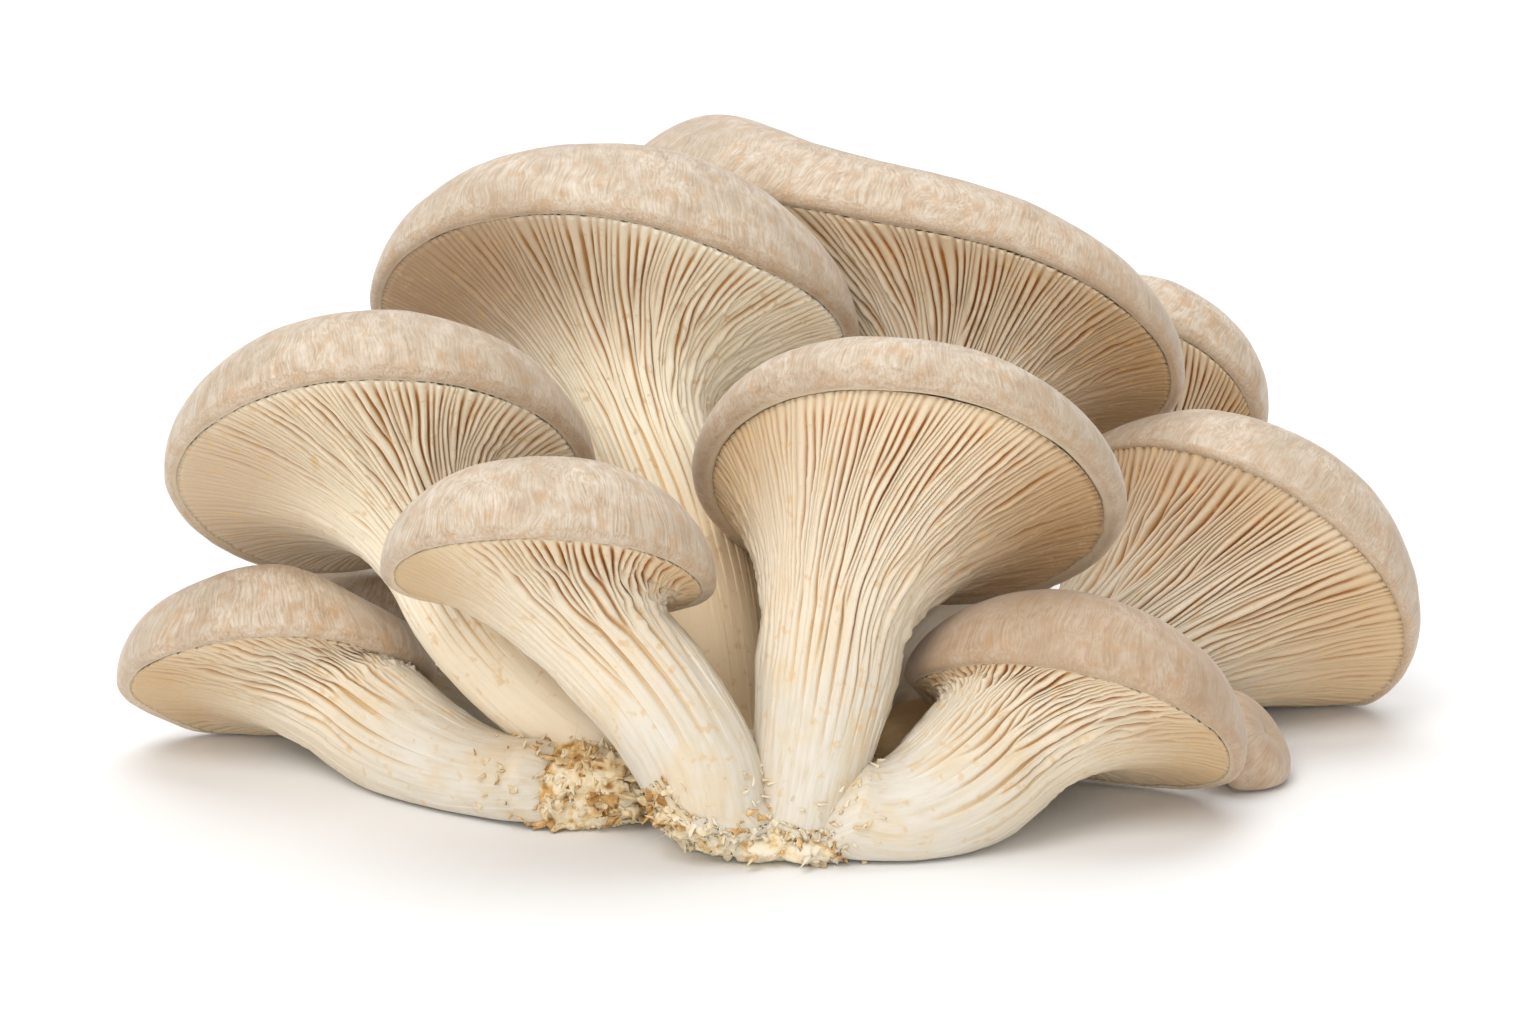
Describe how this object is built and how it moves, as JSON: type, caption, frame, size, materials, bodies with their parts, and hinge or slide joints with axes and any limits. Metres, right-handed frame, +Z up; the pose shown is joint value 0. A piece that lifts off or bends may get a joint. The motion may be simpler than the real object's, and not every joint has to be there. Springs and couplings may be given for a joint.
{
  "type": "oyster mushroom cluster",
  "caption": "Cluster of oyster mushrooms on one torn base, with rounded brown caps turned back to show cream gills that run down thick pale stems.",
  "frame": {"origin": "centre of the bounding box, at the level of the surface it lies on", "axes": "+Z up, +X to the right and +Y away from the side where the gills show"},
  "size_m": [0.2139, 0.1601, 0.0989],
  "materials": {
    "cap_skin": "satin, fine fibres",
    "stem_flesh": "matt, soft",
    "mycelium": "matt, torn and fibrous"
  },
  "bodies": {
    "root": {"stem_front_middle": "stem_flesh", "cap_front_middle": "cap_skin", "stem_front_left": "stem_flesh", "cap_front_left": "cap_skin", "stem_front_right": "stem_flesh", "cap_front_right": "cap_skin", "stem_low_left": "stem_flesh", "cap_low_left": "cap_skin", "stem_left": "stem_flesh", "cap_left": "cap_skin", "stem_top_left": "stem_flesh", "cap_top_left": "cap_skin", "stem_top_right": "stem_flesh", "cap_top_right": "cap_skin", "stem_right": "stem_flesh", "cap_right": "cap_skin", "stem_back_right": "stem_flesh", "cap_back_right": "cap_skin", "stem_low_right_small": "stem_flesh", "cap_low_right_small": "cap_skin", "stem_low_left_small": "stem_flesh", "cap_low_left_small": "cap_skin", "base": "mycelium"}
  },
  "joints": []
}
